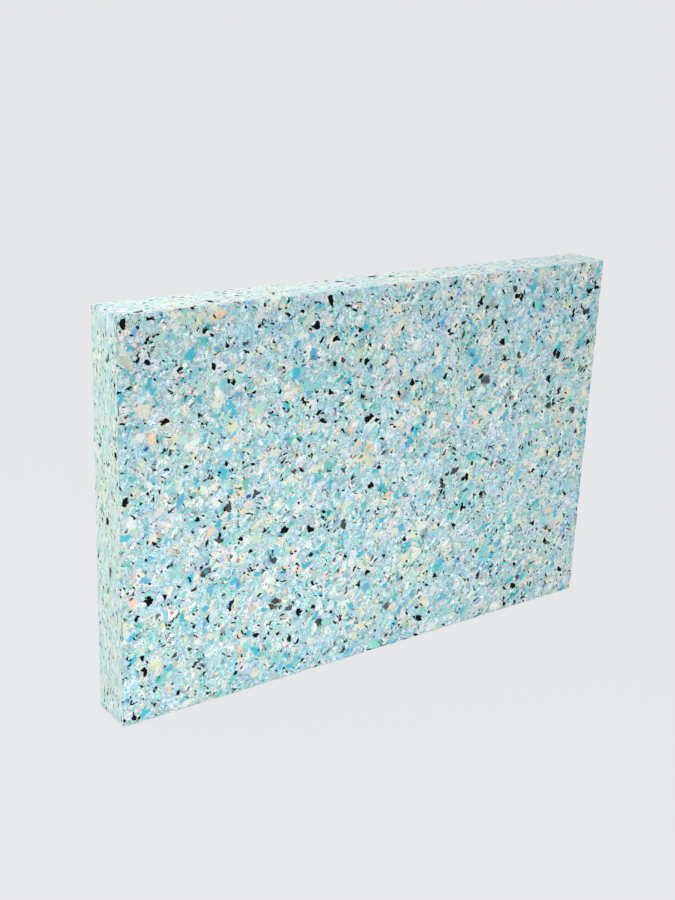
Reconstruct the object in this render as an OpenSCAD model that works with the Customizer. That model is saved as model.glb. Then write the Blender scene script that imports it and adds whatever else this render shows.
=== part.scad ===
// Rebonded foam block.
// Soft foam crumbs are pressed together in a mould, through the thickness of
// the block, and the block is cut to size on all six sides.  The cut opens the
// crumbs: some tear out a little below the face, and a few gaps between them
// stay open.  On the two broad faces the crumbs show at full width; on the four
// narrow ones they show edge on, pressed flat.
// X runs along the block, Y through its thickness and Z up; it stands on Z = 0.

/* [Block] */
// Length of the block
block_l = 600; // [300:10:900]
// Thickness of the block, the way its crumbs were pressed
block_t = 50; // [40:5:100]
// Height of the block as it stands
block_h = 400; // [200:10:600]
// Radius of the worn, eased edges
edge_r = 2.5; // [1:0.5:5]

/* [Crumbs] */
// Mean distance from one sunk crumb to the next on a broad face
crumb_pitch = 36; // [33:1:60]
// Width of the smallest sunk crumb
crumb_min = 5; // [4:0.5:7]
// Width of the largest sunk crumb
crumb_max = 18; // [12:1:24]
// How many times thinner than wide the crumbs are pressed
crumb_press = 2.6; // [1.5:0.1:3.5]
// Depth at which the shallowest crumb is torn out
sink_min = 0.5; // [0.3:0.1:0.7]
// Depth at which the deepest crumb is torn out
sink_max = 1.3; // [0.9:0.1:1.8]
// Steepest slope of a torn floor, in degrees
sink_slope = 4; // [0:1:6]

/* [Gaps] */
// Share of the places where a crumb is missing and a gap is left open
gap_share = 0.3; // [0:0.05:0.6]
// Width of the largest open gap
gap_max = 9; // [7:1:12]
// Depth of the deepest open gap
gap_depth = 3; // [2:0.5:4]

/* [Colours] */
// Colour of the foam as a whole
foam_colour = [0.73, 0.85, 0.83];
// Colour inside an open gap
gap_colour = [0.30, 0.36, 0.36];
// Colours of the crumbs that stand out from the rest
crumb_colours = [
    [0.08, 0.07, 0.07],
    [0.35, 0.75, 0.84],
    [0.97, 0.80, 0.65],
    [0.88, 0.90, 0.86],
    [0.16, 0.67, 0.59],
    [0.34, 0.60, 0.82],
    [0.92, 0.94, 0.78],
    [0.10, 0.33, 0.70]
];

/* [Hidden] */
// Plain foam left between a crumb and the start of an eased edge
rim = 1.5;
// How far a cutting shape stands clear of the face that it cuts
clear = 2;
// Fewest and most sides of a crumb's outline
sides_min = 5;
sides_max = 7;
// Shortest spoke of a crumb's outline, as a share of its longest
spoke_min = 0.62;
// How far a crumb wanders from its even place, as a share of the pitch
wander = 0.14;
// Longest crumb on a broad face, as a multiple of its width the other way
stretch_max = 1.6;
// The power that makes small crumbs commoner than large ones
small_bias = 1.5;
// Each crumb draws its chances from a run of whole numbers of its own: more
// draws than a crumb makes, and more crumbs than a face holds
draws_most = 40;
crumbs_most = 600;
golden = (sqrt(5) - 1) / 2;
edge_fn = 32;

function fraction(x) = x - floor(x);
// An even scatter of values from 0 to 1, one for each whole number n
function scatter(n) = fraction(sin(n * 744.2607) * 43758.5453);
function between(low, high, share) = low + (high - low) * share;

// A rounded rectangle, w by h, about the origin
module eased_outline(w, h) {
    square([w - 2 * edge_r, h], center = true);
    square([w, h - 2 * edge_r], center = true);
    for (x = [-1, 1], y = [-1, 1])
        translate([x * (w / 2 - edge_r), y * (h / 2 - edge_r)])
            circle(r = edge_r, $fn = edge_fn);
}

// A bar of that outline, long enough to pass through the block
module eased_bar(w, h, through) {
    linear_extrude(through + 2 * clear, center = true)
        eased_outline(w, h);
}

// The plain block, with every edge eased
module eased_block() {
    translate([0, 0, block_h / 2])
        intersection() {
            eased_bar(block_l, block_t, block_h);
            rotate([90, 0, 0]) eased_bar(block_l, block_h, block_t);
            rotate([0, 90, 0]) eased_bar(block_h, block_t, block_l);
        }
}

// Corners of a crumb's outline: uneven spokes at uneven angles, w across
function crumb_outline(w, seed) =
    let (sides = floor(between(sides_min, sides_max + 1, scatter(seed))))
    [for (k = [0 : sides - 1])
        let (angle = 360 * (k + 0.5 * scatter(seed + 10 + k)) / sides,
             spoke = w / 2 * between(spoke_min, 1, scatter(seed + 20 + k)))
        [spoke * cos(angle), spoke * sin(angle)]];

// One crumb's cutting shape, its floor at the given depth and slope below Z = 0.
// flat is how many times thinner it is across than along.
module crumb(w, depth, slope, turn, flat, seed) {
    outline = [for (p = crumb_outline(w, seed)) [p.x, p.y / flat]];
    rotate([0, 0, turn])
        translate([0, 0, -depth])
            rotate([slope, 0, 0])
                linear_extrude(depth + clear)
                    polygon(outline);
}

// Cutting shapes for one face, which lies on Z = 0 about the origin with its
// long side along X.  They cut down into it.
module face_crumbs(along, across, press, face) {
    room_along = along - 2 * (edge_r + rim) - crumb_max;
    room_across = across - 2 * (edge_r + rim) - crumb_max / press;
    count = round(room_along * room_across * press / crumb_pitch ^ 2);
    for (i = [0 : count - 1]) {
        seed = (face * crumbs_most + i) * draws_most;
        is_gap = scatter(seed + 1) < gap_share;
        widest = is_gap ? gap_max : crumb_max;
        w = between(crumb_min, widest, scatter(seed + 2) ^ small_bias);
        depth = is_gap
            ? between(sink_max, gap_depth, scatter(seed + 3))
            : between(sink_min, sink_max, scatter(seed + 3))
                + w / 2 * tan(sink_slope);
        // across a broad face a crumb lies any way round; on a narrow one it
        // lies along the face, pressed flat
        flat = press > 1 ? press : between(1, stretch_max, scatter(seed + 4));
        turn = press > 1 ? 0 : 360 * scatter(seed + 5);
        slope = sink_slope * between(-1, 1, scatter(seed + 6));
        shade = crumb_colours[floor(len(crumb_colours) * scatter(seed + 7))];
        dx = wander * crumb_pitch * between(-1, 1, scatter(seed + 8));
        x = ((i + 0.5) / count - 0.5) * (room_along - 2 * wander * crumb_pitch) + dx;
        y = (fraction(i * golden) - 0.5) * room_across;
        color(is_gap ? gap_colour : shade)
            translate([x, y, 0])
                crumb(w, depth, slope, turn, flat, seed);
    }
}

module foam_block() {
    difference() {
        color(foam_colour) eased_block();
        // front and back
        for (side = [0, 1])
            rotate([0, 0, 180 * side])
                translate([0, -block_t / 2, block_h / 2])
                    rotate([90, 0, 0])
                        face_crumbs(block_l, block_h, 1, 1 + side);
        // top and base
        for (side = [0, 1])
            translate([0, 0, block_h * (1 - side)])
                rotate([180 * side, 0, 0])
                    face_crumbs(block_l, block_t, crumb_press, 3 + side);
        // the two ends
        for (side = [-1, 1])
            translate([side * block_l / 2, 0, block_h / 2])
                rotate([0, side * 90, 0])
                    face_crumbs(block_h, block_t, crumb_press, 6 + side);
    }
}

foam_block();
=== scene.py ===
import itertools
import math

import bpy
import numpy as np
from mathutils import Matrix, Vector


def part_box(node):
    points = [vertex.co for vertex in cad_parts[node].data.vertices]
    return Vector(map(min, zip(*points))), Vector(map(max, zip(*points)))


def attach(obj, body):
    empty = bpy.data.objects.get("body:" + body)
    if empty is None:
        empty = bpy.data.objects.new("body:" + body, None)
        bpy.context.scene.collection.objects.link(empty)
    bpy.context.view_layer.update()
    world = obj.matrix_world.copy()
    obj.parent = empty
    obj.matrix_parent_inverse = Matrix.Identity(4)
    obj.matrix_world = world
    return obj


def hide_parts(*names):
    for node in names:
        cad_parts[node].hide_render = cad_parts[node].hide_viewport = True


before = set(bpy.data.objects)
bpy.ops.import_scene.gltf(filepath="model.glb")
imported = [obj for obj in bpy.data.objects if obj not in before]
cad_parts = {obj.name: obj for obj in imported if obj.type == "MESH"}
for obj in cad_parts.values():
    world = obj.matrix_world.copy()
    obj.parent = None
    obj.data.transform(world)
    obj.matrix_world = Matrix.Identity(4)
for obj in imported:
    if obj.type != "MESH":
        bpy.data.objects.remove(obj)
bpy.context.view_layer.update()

# ---------------------------------------------------------------------------
# The foam block
# Shredded offcuts of soft foam, coated with binder and pressed flat in a mould
# to a slab, from which the block is sawn.  Each face is a section through the
# crumbs, with torn crumbs and open gaps, and the edges are nibbled by handling.

block_low, block_high = (np.array(corner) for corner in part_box("foam_block"))
block_size = block_high - block_low
block_centre = (block_low + block_high) / 2
half = block_size / 2
edge_radius = 0.0025
surface_step = 0.0026
# where the grid lines lie across an eased edge, as shares of its radius
edge_stations = np.array([0.0, 0.3, 0.62])
# two faces share a point where it agrees to so many decimals of a metre
shared_decimals = 6
# how far the sawn faces wander from flat, and over what distance, how many times
# finer the second unevenness is than the first, and what share each of them has
sawn_unevenness, sawn_patch = 0.00025, 0.006
finer_by, first_share, finer_share = 2.3, 0.6, 0.4
# how deep the edges are nibbled, over what distance, and how far in that reaches.
# A nibble is the scatter times its rise, less its start
nibble_depth, nibble_patch, nibble_reach = 0.0014, 0.005, 0.004
nibble_rise, nibble_start = 2.2, 1.1
deepest_gap = 0.005
bake_margin = 0.006
# the value at a lattice point is the fraction of a widely spread sine, which
# turns by so much for a step along each axis
lattice_turns, lattice_spread = np.array([12.9898, 78.233, 37.719]), 43758.5453


def stations(length):
    """Places of the grid lines along a side: even steps between the eased
    edges, and a few closer ones across each of them."""
    steps = int(round((length - 2 * edge_radius) / surface_step))
    middle = np.linspace(edge_radius, length - edge_radius, steps + 1)
    rim = edge_stations * edge_radius
    return np.concatenate([rim, middle, length - rim[::-1]])


def face_grid(along, across, signs, u_axis, v_axis, turned, place):
    """One flat face as a grid of quads, its points at corner + u * u_axis +
    v * v_axis, where the corner is half the block's size times its signs.
    Returns the points, the quads, and each point's spot on the bake chart, which
    is (u, v), or (v, u) on a turned face, plus the face's place there."""
    u, v = np.meshgrid(stations(along), stations(across), indexing="ij")
    points = signs * half + u[..., None] * u_axis + v[..., None] * v_axis
    index = np.arange(u.size).reshape(u.shape)
    quads = np.stack([index[:-1, :-1], index[1:, :-1], index[1:, 1:], index[:-1, 1:]], -1)
    spots = np.stack([v, u] if turned else [u, v], -1).reshape(-1, 2) + place
    return points.reshape(-1, 3), quads.reshape(-1, 4), spots


def ease(points, radius):
    """Rounds the block's edges: each point moves to the given radius from the
    nearest point of the block made smaller by that radius on every side."""
    inner = np.clip(points, radius - half, half - radius)
    spoke = points - inner
    return inner + radius * spoke / np.linalg.norm(spoke, axis=1, keepdims=True)


def grain(points, patch, seed):
    """A smooth scatter of values from 0 to 1: hashed values on a lattice one
    patch apart, blended by the smooth step of the place within each cell."""
    cells = points / patch
    low = np.floor(cells)
    share = cells - low
    share = share * share * (3 - 2 * share)
    total = np.zeros(len(points))
    for corner in itertools.product((0, 1), repeat=3):
        key = (low + corner) @ lattice_turns + seed
        value = np.modf(np.abs(np.sin(key)) * lattice_spread)[0]
        total += value * np.where(corner, share, 1 - share).prod(axis=1)
    return total


# on the bake chart the broad faces lie one above the other, and the narrow ones
# stand beside them in three columns
length, thickness, height = block_size
column, row, strip = length + bake_margin, height + bake_margin, thickness + bake_margin
X, Y, Z = np.eye(3)
sides = [
    # a face's two sides, the signs of its first corner, its two directions,
    # whether it is turned on the chart, and its place there
    (length, height, (-1, -1, -1), X, Z, False, (0, 0)),
    (length, height, (1, 1, -1), -X, Z, False, (0, row)),
    (length, thickness, (-1, -1, 1), X, Y, True, (column, 0)),
    (length, thickness, (1, -1, -1), -X, Y, True, (column + strip, 0)),
    (height, thickness, (1, -1, -1), Z, Y, True, (column + 2 * strip, 0)),
    (height, thickness, (-1, -1, 1), -Z, Y, True, (column + 2 * strip, row)),
]
points, quads, chart, count = [], [], [], 0
for side in sides:
    side_points, side_quads, side_spots = face_grid(*side)
    points.append(side_points)
    quads.append(side_quads + count)
    chart.append(side_spots)
    count += len(side_points)
points, quads, chart = (np.concatenate(part) for part in (points, quads, chart))
points = ease(points, edge_radius)
corner_chart = chart[quads]
# the six grids meet in the same points along the edges
_, first, joined = np.unique(
    np.round(points, shared_decimals), axis=0, return_index=True, return_inverse=True,
)
points, quads = points[first], joined.reshape(-1)[quads]

foam_mesh = bpy.data.meshes.new("foam_block_sawn")
foam_mesh.from_pydata((points + block_centre).tolist(), [], quads.tolist())
foam = bpy.data.objects.new("foam_block_sawn", foam_mesh)
bpy.context.scene.collection.objects.link(foam)

# torn crumbs and gaps: the grid sinks onto the solid's own recesses
sink = foam.modifiers.new("sink", "SHRINKWRAP")
sink.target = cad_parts["foam_block"]
sink.wrap_method = "PROJECT"
sink.use_positive_direction = False
sink.use_negative_direction = True
sink.project_limit = deepest_gap
evaluated = foam.evaluated_get(bpy.context.evaluated_depsgraph_get())
sunk = np.empty(len(points) * 3)
evaluated.data.vertices.foreach_get("co", sunk)
sunk = sunk.reshape(-1, 3) - block_centre
foam.modifiers.remove(sink)

# unevenness of the sawn faces, and nibbled edges
inward = np.clip(points, edge_radius - half, half - edge_radius) - points
inward /= np.linalg.norm(inward, axis=1, keepdims=True)
to_sides = np.sort(half - np.abs(points), axis=1)
near_edge = np.clip(1 - to_sides[:, 1] / nibble_reach, 0, 1)
nibble = grain(points, nibble_patch, seed=5.0) * nibble_rise - nibble_start
nibble = np.clip(nibble, 0, 1) * near_edge
uneven = grain(points, sawn_patch, seed=1.0) * first_share
uneven += grain(points, sawn_patch / finer_by, seed=2.0) * finer_share
push = uneven * sawn_unevenness + nibble * nibble_depth
places = sunk + inward * push[:, None] + block_centre
foam_mesh.vertices.foreach_set("co", places.reshape(-1).astype(np.float32))
foam_mesh.polygons.foreach_set("use_smooth", np.ones(len(quads), bool))
chart_layer = foam_mesh.uv_layers.new(name="OFBake")
chart_size = max(column + 3 * strip, 2 * row)
corner_chart = (corner_chart + bake_margin / 2) / chart_size
chart_layer.data.foreach_set("uv", corner_chart.reshape(-1).astype(np.float32))
foam_mesh.update()
foam_mesh.validate()


class Signal:
    """One output of a node.  Arithmetic on it adds Math nodes to its finish."""

    def __init__(self, finish, output):
        self.finish = finish
        self.output = output

    def __add__(self, other):
        return self.finish.maths("ADD", self, other)

    def __sub__(self, other):
        return self.finish.maths("SUBTRACT", self, other)

    def __rsub__(self, other):
        return self.finish.maths("SUBTRACT", other, self)

    def __mul__(self, other):
        return self.finish.maths("MULTIPLY", self, other)

    __radd__ = __add__
    __rmul__ = __mul__

    def limited(self):
        """The same value kept between 0 and 1."""
        return self.finish.maths("MAXIMUM", self.finish.maths("MINIMUM", self, 1.0), 0.0)


class Finish:
    """The nodes of a material or of the world, with one way to add any of them."""

    def __init__(self, owner):
        owner.use_nodes = True
        self.owner = owner
        self.tree = owner.node_tree
        self.tree.nodes.clear()

    def node(self, kind, settings=None, sockets=None, output=0):
        """Adds a node, sets it up, then fills its sockets with values or links."""
        made = self.tree.nodes.new(kind)
        for name, value in (settings or {}).items():
            if name == "stops":
                self.fill_ramp(made.color_ramp, value)
            elif name == "interpolation":
                made.color_ramp.interpolation = value
            else:
                setattr(made, name, value)
        for name, value in (sockets or {}).items():
            if isinstance(value, Signal):
                self.tree.links.new(value.output, made.inputs[name])
            else:
                made.inputs[name].default_value = value
        return Signal(self, made.outputs[output]) if len(made.outputs) else made

    @staticmethod
    def fill_ramp(ramp, stops):
        """Gives a ramp its stops, each a position and a colour."""
        while len(ramp.elements) < len(stops):
            ramp.elements.new(1.0)
        for element, (position, colour) in zip(ramp.elements, stops):
            element.position = position
            element.color = colour

    def also(self, signal, output):
        """Another output of the node that a signal comes from."""
        return Signal(self, signal.output.node.outputs[output])

    def parts(self, signal, kind="ShaderNodeSeparateColor"):
        """The three values that a colour carries, or a vector with the other kind."""
        first = self.node(kind, {}, {0: signal})
        return first, self.also(first, 1), self.also(first, 2)

    def maths(self, operation, *values):
        """One operation on one value or two."""
        return self.node("ShaderNodeMath", {"operation": operation}, dict(enumerate(values)))

    def vector(self, operation, *vectors):
        """One operation on vectors or colours, part by part."""
        settings = {"operation": operation}
        return self.node("ShaderNodeVectorMath", settings, dict(enumerate(vectors)))

    def blend(self, share, under, over, mode="MIX"):
        """Lays one colour over another by a share from 0 to 1."""
        settings = {"data_type": "RGBA", "blend_type": mode}
        return self.node("ShaderNodeMix", settings, {0: share, 6: under, 7: over}, output=2)

    def grey(self, value):
        """The same value as a colour."""
        return self.node("ShaderNodeCombineColor", {}, {0: value, 1: value, 2: value})

    def mottle(self, place, size, detail, roughness=0.5):
        """A smooth wandering value, in patches of about the given size, with finer
        patches over them: each level of detail weighs roughness times the last."""
        return self.node("ShaderNodeTexNoise", {}, {
            "Vector": place, "Scale": 1 / size, "Detail": detail, "Roughness": roughness,
        })

    def strays(self, mottle):
        """Three more wandering values of a mottle, each less a half."""
        return self.vector("SUBTRACT", self.also(mottle, "Color"), (0.5, 0.5, 0.5))

    def moved(self, place, strays, reach):
        """A place plus its strays times their reach."""
        return self.vector("ADD", place, self.vector("MULTIPLY", strays, (reach, reach, reach)))


def seen(red, green, blue):
    """A colour as it is seen, each part from 0 to 255, as light for a shader: a
    screen's curve, which divides a very dark part by 12.92 and raises any other,
    shifted a little, to the power 2.4."""
    parts = [value / 255 for value in (red, green, blue)]
    light = [p / 12.92 if p <= 0.04045 else ((p + 0.055) / 1.055) ** 2.4 for p in parts]
    return (*light, 1.0)


# the crumbs' colours
white, milk, ice = (252, 253, 250), (236, 241, 234), (206, 231, 240)
sky, aqua, mint, jade = (180, 217, 231), (170, 223, 228), (181, 227, 216), (134, 222, 208)
lilac, mist, stone = (215, 220, 236), (182, 208, 212), (150, 152, 148)
cream, moss, fawn, ash = (239, 233, 214), (212, 227, 200), (200, 194, 178), (152, 175, 179)
slate, steel, azure = (98, 112, 116), (88, 172, 218), (84, 158, 214)
lagoon, turquoise, teal, pine = (126, 208, 222), (60, 189, 214), (60, 188, 180), (16, 160, 138)
blush, peach, straw, ochre = (240, 228, 225), (248, 211, 178), (231, 231, 192), (226, 190, 104)
rose, cobalt, umber, soot = (210, 104, 132), (26, 88, 180), (64, 60, 60), (12, 12, 14)

foam_finish = Finish(bpy.data.materials.new("bonded_foam"))
# how far the points of one layer of crumbs are shifted against the next layer's
layer_shift = (13.7, 7.3, 29.1)


def scattered(place, size, seed, stretch=(1, 1, 1), turn=(0, 0, 0), metric="EUCLIDEAN"):
    """The grounds of a scatter of crumbs: how far each spot is from the nearest of
    a scatter of points, in shares of size, the millimetres that they lie apart.
    The node's colour is drawn anew for each point.  The place is stretched and
    turned first, so a crumb is thinner along an axis that is stretched."""
    at = foam_finish.node("ShaderNodeMapping", {"vector_type": "POINT"}, {
        "Vector": place,
        "Location": [seed * shift for shift in layer_shift],
        "Rotation": turn,
        "Scale": [value / size for value in stretch],
    })
    return foam_finish.node("ShaderNodeTexVoronoi", {"feature": "F1", "distance": metric}, {
        "Vector": at, "Scale": 1.0,
    })


def crumbs(under, grounds, kinds, reach, firm, tones=(0.965, 1.035), where=1.0, shade=0.0):
    """Lays a crumb on each ground, over a colour.  Its edge is (its own reach - the
    distance) * firm.  It covers as much as that, kept between 0 and 1, and painted
    shade, as in the crevice round a crumb, darkens its outline by shade *
    (1 - |edge * 2|), kept so too.  Its reach and its tone are drawn between the two
    that are given.  kinds are its colours as (share in a hundred, cover, colour),
    and what is left over stays bare."""
    stops, start = [], 0.0
    for share, cover, colour in kinds:
        stops.append((start / 100, (*seen(*colour)[:3], cover)))
        start += share
    stops.append((start / 100, (0.0, 0.0, 0.0, 0.0)))
    kind, tone, own_reach = foam_finish.parts(foam_finish.also(grounds, "Color"))
    ramp = {"interpolation": "CONSTANT", "stops": stops}
    colour = foam_finish.node("ShaderNodeValToRGB", ramp, {0: kind})
    cover = foam_finish.also(colour, "Alpha")
    least, most = reach
    edge = (own_reach * (most - least) + least - grounds) * firm
    least, most = tones
    tone = tone * (most - least) + least
    colour = foam_finish.blend(1.0, colour, foam_finish.grey(tone), "MULTIPLY")
    laid = foam_finish.blend(cover * edge.limited() * where, under, colour)
    # painted shade in the crevice along the crumb's outline
    if shade:
        rim = (1.0 - foam_finish.maths("ABSOLUTE", edge * 2.0)).limited()
        shadow = foam_finish.grey(1.0 - rim * cover * shade)
        laid = foam_finish.blend(1.0, laid, shadow, "MULTIPLY")
    return laid


# the place in millimetres, on axes turned to the way the saw drew the crumbs: they
# are drawn_along times as long that way, drawn_across times across it, and
# crumb_press times thinner through the block
millimetre = 0.001
saw_turn, drawn_along, drawn_across, crumb_press = -0.87, 1.06, 0.96, 3.1
object_place = foam_finish.node("ShaderNodeTexCoord", {}, {}, output="Object")
place = foam_finish.node("ShaderNodeMapping", {"vector_type": "TEXTURE"}, {
    "Vector": object_place,
    "Rotation": (0.0, saw_turn, 0.0),
    "Scale": (drawn_along * millimetre, millimetre / crumb_press, drawn_across * millimetre),
})

# the press bent the crumbs, and some kinds lie thicker here and there
bend_size, bend_reach, crowding, strewn_start = 16.0, 16.0, 14, 0.2
bend = foam_finish.strays(foam_finish.mottle(place, bend_size, detail=3.0, roughness=0.55))
bent = foam_finish.moved(place, bend, bend_reach)
crowd, _, other_crowd = foam_finish.parts(bend, "ShaderNodeSeparateXYZ")
gathered = (crowd * crowding).limited()
strewn = (other_crowd * crowding - strewn_start).limited()

# the pores of the foam fray the crumbs' edges, and a crumb is torn along shards,
# which give it an angular outline
pore_size, fray_reach = 1.5, 3.0
shard_size, facet_size, angular = 4.6, 2.4, 0.75
pores = foam_finish.mottle(place, pore_size, detail=2.0, roughness=0.6)
torn = foam_finish.moved(bent, foam_finish.strays(pores), fray_reach)
shards = foam_finish.node("ShaderNodeTexVoronoi", {}, {"Vector": torn, "Scale": 1 / shard_size})
facets = foam_finish.node("ShaderNodeTexVoronoi", {}, {"Vector": torn, "Scale": 1 / facet_size})
chipped = foam_finish.node("ShaderNodeMix", {"data_type": "VECTOR"}, {
    0: angular, 4: torn, 5: foam_finish.also(shards, "Position"),
}, output=1)

# the narrow faces, on which the crumbs are cut edge on: 1 within a rim of them,
# and 0 on the broad faces
narrow_rim, broad_rim, rim_rise = 0.0035, 0.0002, 600
half_length, half_thickness, half_height = half.tolist()
off_middle = foam_finish.vector("SUBTRACT", object_place, tuple(block_centre))
off_middle = foam_finish.vector("ABSOLUTE", off_middle)
lengthwise, through, upward = foam_finish.parts(off_middle, "ShaderNodeSeparateXYZ")
past_end = lengthwise - (half_length - narrow_rim)
past_top = upward - (half_height - narrow_rim)
narrow = foam_finish.maths("MAXIMUM", past_end, past_top)
narrow = foam_finish.maths("MINIMUM", narrow, (half_thickness - broad_rim) - through)
narrow = (narrow * rim_rise).limited()
top_and_base = (past_top * rim_rise).limited()

# the ground: pale foam, its colours run together
drift_size = 13.0
drift = foam_finish.mottle(place, drift_size, detail=3.0, roughness=0.55)
# what colour runs into it, from what value of the drift up, and how quickly
run_in = [(aqua, 0.36, 3.6), (ice, 0.46, 4), (mint, 0.52, 4)]
colour = seen(*sky)
drifts = foam_finish.parts(foam_finish.also(drift, "Color"))
for part, (stain, start, rise) in zip(drifts, run_in):
    colour = foam_finish.blend(((part - start) * rise).limited(), colour, seen(*stain))

# pale crumbs of every size, one over another
broad = scattered(chipped, size=10.5, turn=(0, 0.5, 0), seed=1)
colour = crumbs(colour, broad, [
    (10, 0.8, ice), (10, 0.8, milk), (8, 0.75, blush), (8, 0.75, lilac), (8, 0.8, mint),
    (10, 0.9, aqua), (15, 0.9, sky), (8, 0.85, cream), (4, 0.75, moss), (3, 0.7, mist),
    (2, 0.75, jade), (3, 0.55, turquoise),
], reach=(0.3, 0.75), firm=8, shade=0.13)
middling = scattered(chipped, size=6.4, turn=(0, -0.6, 0), seed=2)
colour = crumbs(colour, middling, [
    (15, 0.75, milk), (10, 0.7, blush), (14, 0.7, ice), (3, 0.65, white), (9, 0.7, lilac),
    (8, 0.75, cream), (8, 0.7, aqua), (5, 0.7, mint), (4, 0.5, mist), (3, 0.65, turquoise),
    (2, 0.45, ash), (3, 0.7, moss), (8, 0.75, sky),
], reach=(0.3, 0.75), firm=8, shade=0.18)
# the small ones are fainter on the narrow faces
fainter = 0.2
small = scattered(torn, size=3.9, seed=3)
colour = crumbs(colour, small, [
    (10, 0.66, white), (13, 0.6, milk), (8, 0.5, ice), (6, 0.4, lilac), (8, 0.4, ash),
    (1.5, 0.5, slate), (4, 0.4, mint), (3, 0.45, turquoise), (4, 0.4, cream),
], reach=(0.3, 0.75), firm=9, tones=(0.84, 1.1), where=1 - narrow * fainter, shade=0.22)

# painted light and shade in place of fine relief: a fine mottle of painted shade
# in the open cells of the foam, small facets that each catch the light in their
# own way, lit or shaded, and painted shade in the seams between facets and
# between shards, so that each is lighter at its middle
pore_shading_size, pore_shading_depth, tilt_depth = 1.2, 1.85, 0.36
facet_seam_shade, shard_seam_shade, shading_level = 0.3, 0.18, 1.203
pore_shading = foam_finish.mottle(bent, pore_shading_size, detail=1.0, roughness=0.7)
tilt, facet_tinge, _ = foam_finish.parts(foam_finish.also(facets, "Color"))
lit = (pore_shading - 0.5) * pore_shading_depth + (tilt - 0.5) * tilt_depth
lit = lit - facets * facet_seam_shade - shards * shard_seam_shade + shading_level
colour = foam_finish.blend(1.0, colour, foam_finish.grey(lit), "MULTIPLY")

# smooth pale crumbs, then bright ones, large and small
nuggets = scattered(chipped, size=12.5, turn=(0.3, 0.4, 0), stretch=(1, 1, 1.1), seed=4)
colour = crumbs(colour, nuggets, [
    (3, 0.75, white), (14, 0.85, milk), (10, 0.8, blush), (8, 0.85, cream), (3, 0.8, mint),
    (2, 0.85, peach), (5.5, 0.8, straw), (5, 0.75, lagoon), (3, 0.75, moss), (7, 0.8, sky),
    (3, 0.75, jade),
], reach=(0.22, 0.62), firm=10, shade=0.22)
bright = scattered(chipped, size=11.6, turn=(0, -0.3, 0), stretch=(0.95, 1, 1.2), seed=5)
colour = crumbs(colour, bright, [
    (14, 0.95, turquoise), (4.5, 0.9, steel), (9, 0.85, lagoon), (1.8, 0.85, azure),
    (3.6, 0.8, teal), (0.6, 0.9, umber), (1.2, 0.85, stone), (2, 0.8, fawn),
    (2.5, 0.9, peach), (5, 0.8, straw), (7, 0.85, milk), (3, 0.8, jade),
], reach=(0.18, 0.57), firm=9, tones=(0.94, 1.06), shade=0.2)
small_bright = scattered(bent, size=6.0, turn=(0, 0.3, 0), stretch=(1, 1, 1.4), seed=6)
colour = crumbs(colour, small_bright, [
    (8, 0.85, turquoise), (10, 0.8, teal), (10, 0.95, pine), (2.5, 0.9, azure),
    (2.2, 0.95, cobalt), (3.5, 0.9, ochre), (2.2, 0.9, rose), (2, 0.8, umber),
    (3, 0.9, peach), (12, 0.9, white),
], reach=(0.25, 0.6), firm=8, where=strewn, shade=0.1)

# the narrow faces are paler, partly from the whitish fuzz of the saw cut and partly
# by a painted sheen where light grazes them, and greener at the ends than on the
# top and the base, a difference of painted light
end_fuzz_and_light, top_fuzz_and_light, paler = (220, 231, 210), (224, 222, 214), 0.34
narrow_fuzz_and_light = foam_finish.blend(top_and_base, seen(*end_fuzz_and_light), seen(*top_fuzz_and_light))
colour = foam_finish.blend(narrow * paler, colour, narrow_fuzz_and_light)

# each shard, and half as much each facet, a little greener or more violet
green_tinge, violet_tinge = (0.955, 1.018, 0.955, 1), (1.045, 0.982, 1.045, 1)
shard_tinge, _, _ = foam_finish.parts(foam_finish.also(shards, "Color"))
for strength, share in ((1.0, shard_tinge), (0.5, facet_tinge)):
    tinge = foam_finish.blend(share, green_tinge, violet_tinge)
    colour = foam_finish.blend(strength, colour, tinge, "MULTIPLY")

# batches of crumbs, bluer here and greener there
batch_size, batch_start, batch_rise = 70.0, 0.35, 3.3
bluer, greener = (0.97, 0.995, 1.03, 1), (1.03, 1.01, 0.95, 1)
batch = foam_finish.mottle(place, batch_size, detail=2.0)
batch, _, _ = foam_finish.parts(foam_finish.also(batch, "Color"))
tint = foam_finish.blend(((batch - batch_start) * batch_rise).limited(), bluer, greener)
colour = foam_finish.blend(1.0, colour, tint, "MULTIPLY")

# dark specks, black crumbs, thin dark slivers painted as shade in open gaps
# between crumbs, and large black crumbs
specks = scattered(bent, size=3.0, seed=9)
colour = crumbs(colour, specks, [(3, 0.8, slate), (2, 0.9, umber), (3, 1, soot)],
                reach=(0.2, 0.7), firm=14, where=strewn)
black = scattered(bent, size=5.8, turn=(0.4, 0.9, 0.3), stretch=(0.85, 1, 1.3),
                  metric="MANHATTAN", seed=7)
colour = crumbs(colour, black, [(19, 1, soot), (2.5, 0.95, umber)],
                reach=(0.3, 0.88), firm=32, where=gathered)
# thin dark slivers: painted shade in open gaps between crumbs
gap_shade_slivers = scattered(bent, size=6.5, turn=(-0.2, -0.4, 0.2), stretch=(2.7, 1, 1), seed=10)
colour = crumbs(colour, gap_shade_slivers, [(9, 1, soot), (1, 0.95, umber)],
                reach=(0.26, 0.54), firm=18)
large_black = scattered(bent, size=9.5, turn=(0.7, -0.5, 0.4), stretch=(1.3, 0.5, 1),
                        metric="MANHATTAN", seed=8)
colour = crumbs(colour, large_black, [(3.6, 1, soot), (2.2, 0.95, umber)],
                reach=(0.14, 0.9), firm=36)

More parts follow.
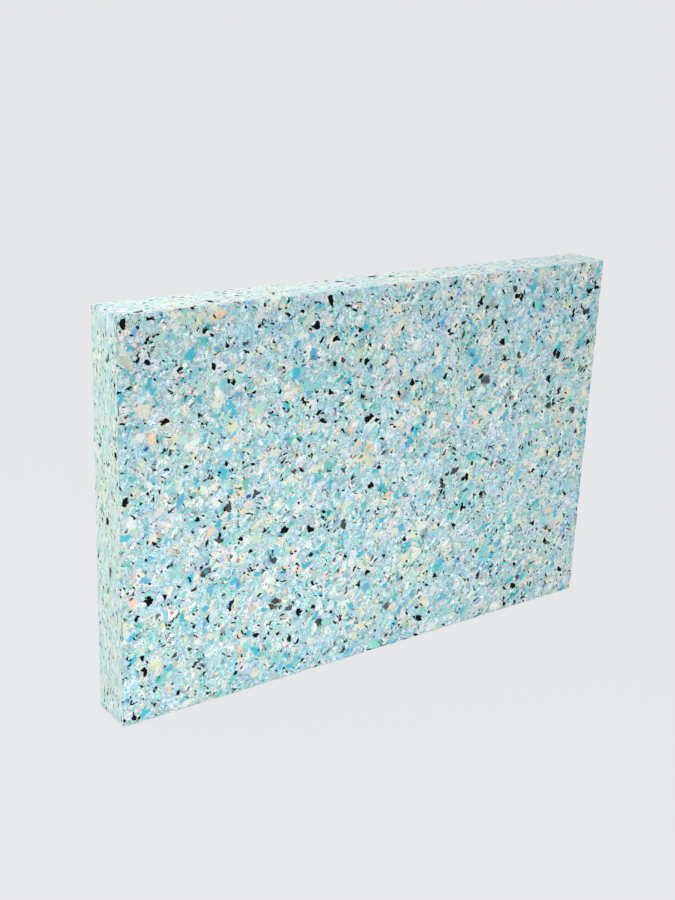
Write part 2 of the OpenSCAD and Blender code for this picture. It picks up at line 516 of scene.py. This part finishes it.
# relief: the pores, and crumbs that stand a little proud at their middles, all
# of it calmer on the narrow faces
pore_relief, middling_relief, small_relief = 0.5, 0.6, 0.5
calmer, relief_height = 0.7, 0.0009
relief = pores * pore_relief - middling * middling_relief - small * small_relief
relief = relief * (1 - narrow * calmer)
bumps = foam_finish.node("ShaderNodeBump", {}, {
    "Height": relief, "Strength": 1.0, "Distance": relief_height,
})
skin = foam_finish.node("ShaderNodeBsdfPrincipled", {}, {
    "Base Color": colour, "Roughness": 0.95, "Specular IOR Level": 0.15, "Normal": bumps,
})
foam_finish.node("ShaderNodeOutputMaterial", {}, {"Surface": skin})
foam_mesh.materials.append(foam_finish.owner)

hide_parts("foam_block")
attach(foam, "root")

# ---------------------------------------------------------------------------
# The floor
# A plain sheet of pale matt paper that runs out of sight on every side.  It shows
# one even colour, with a little of the light and shadow that fall on it.

floor_reach = 60.0
paper_colour, lit_paper, evenness = (230, 231, 233), (231, 232, 234), 0.95
floor_mesh = bpy.data.meshes.new("floor")
floor_signs = [(-1, -1), (1, -1), (1, 1), (-1, 1)]
floor_corners = [(x * floor_reach, y * floor_reach, 0.0) for x, y in floor_signs]
floor_mesh.from_pydata(floor_corners, [], [(0, 1, 2, 3)])
floor = bpy.data.objects.new("floor", floor_mesh)
bpy.context.scene.collection.objects.link(floor)


def looked_at(finish):
    """1 for a ray that shows the background, straight or in a gloss or through
    glass, and 0 for one that lights something: the sum of those three kinds of
    ray, kept between 0 and 1."""
    sight = finish.node("ShaderNodeLightPath", {}, {}, output="Is Camera Ray")
    mirrored = finish.also(sight, "Is Glossy Ray") + finish.also(sight, "Is Transmission Ray")
    return (sight + mirrored).limited()


paper = Finish(bpy.data.materials.new("pale_paper"))
matt = paper.node("ShaderNodeBsdfDiffuse", {}, {"Color": seen(*paper_colour)})
glow = paper.node("ShaderNodeEmission", {}, {"Color": seen(*lit_paper), "Strength": 1.0})
sheet = paper.node("ShaderNodeMixShader", {}, {0: looked_at(paper) * evenness, 1: matt, 2: glow})
paper.node("ShaderNodeOutputMaterial", {}, {"Surface": sheet})
floor_mesh.materials.append(paper.owner)

# ---------------------------------------------------------------------------
# Light
# Even light from all round, a wide soft lamp overhead, a weaker one at the left
# end, and a low strip in front that lifts the foot of the broad face.

surround_colour, surround_strength = (1, 1, 1, 1), 0.7
studio = Finish(bpy.data.worlds.new("studio"))
surround = studio.node("ShaderNodeBackground", {}, {
    "Color": surround_colour, "Strength": surround_strength,
})
backdrop = studio.node("ShaderNodeBackground", {}, {"Color": seen(*paper_colour), "Strength": 1.0})
either = studio.node("ShaderNodeMixShader", {}, {0: looked_at(studio), 1: surround, 2: backdrop})
studio.node("ShaderNodeOutputWorld", {}, {"Surface": either})
bpy.context.scene.world = studio.owner

lamps = [
    # name, where it stands, where it points, its width and height, its power in
    # watts, and how widely it spreads its light, in degrees
    ("over", (-0.6, 0.15, 1.4), (-0.2, 0.0, 0.2), (1.0, 1.0), 9.9, 180),
    ("left", (-1.5, 0.25, 0.3), (0.0, 0.0, 0.15), (0.9, 0.9), 2.6, 180),
    ("front_strip", (-0.25, -0.85, 0.14), (-0.18, -0.02, 0.05), (1.0, 0.1), 0.71, 80),
]
for name, stands, points_at, (wide, high), power, spread in lamps:
    lamp = bpy.data.lights.new(name, "AREA")
    lamp.shape = "RECTANGLE"
    lamp.size, lamp.size_y = wide, high
    lamp.energy = power
    lamp.spread = math.radians(spread)
    lamp_object = bpy.data.objects.new(name, lamp)
    lamp_object.location = stands
    aim = Vector(points_at) - Vector(stands)
    lamp_object.rotation_euler = aim.to_track_quat("-Z", "Y").to_euler()
    lamp_object.visible_camera = False
    bpy.context.scene.collection.objects.link(lamp_object)

# ---------------------------------------------------------------------------
# Camera
# It stands in front of the block and to its left, a little above it, and is
# tipped a little to one side.

camera_place = (-0.7895, -1.0013, 0.6512)
camera_turn, camera_rise, camera_tip = map(math.radians, (-36.774, 18.720, 2.253))
lens_mm, sensor_mm = 51.82, 36.0
back = Vector((
    math.sin(camera_turn) * math.cos(camera_rise),
    -math.cos(camera_turn) * math.cos(camera_rise),
    math.sin(camera_rise),
))
right = Vector((math.cos(camera_turn), math.sin(camera_turn), 0.0))
up = back.cross(right)
tipped_right = right * math.cos(camera_tip) + up * math.sin(camera_tip)
tipped_up = up * math.cos(camera_tip) - right * math.sin(camera_tip)
camera = bpy.data.cameras.new("camera")
camera.lens = lens_mm
camera.sensor_width = sensor_mm
camera_object = bpy.data.objects.new("camera", camera)
axes = Matrix((tipped_right, tipped_up, back)).transposed()
camera_object.matrix_world = Matrix.Translation(camera_place) @ axes.to_4x4()
bpy.context.scene.collection.objects.link(camera_object)
bpy.context.scene.camera = camera_object
bpy.context.scene.view_settings.view_transform = "Standard"
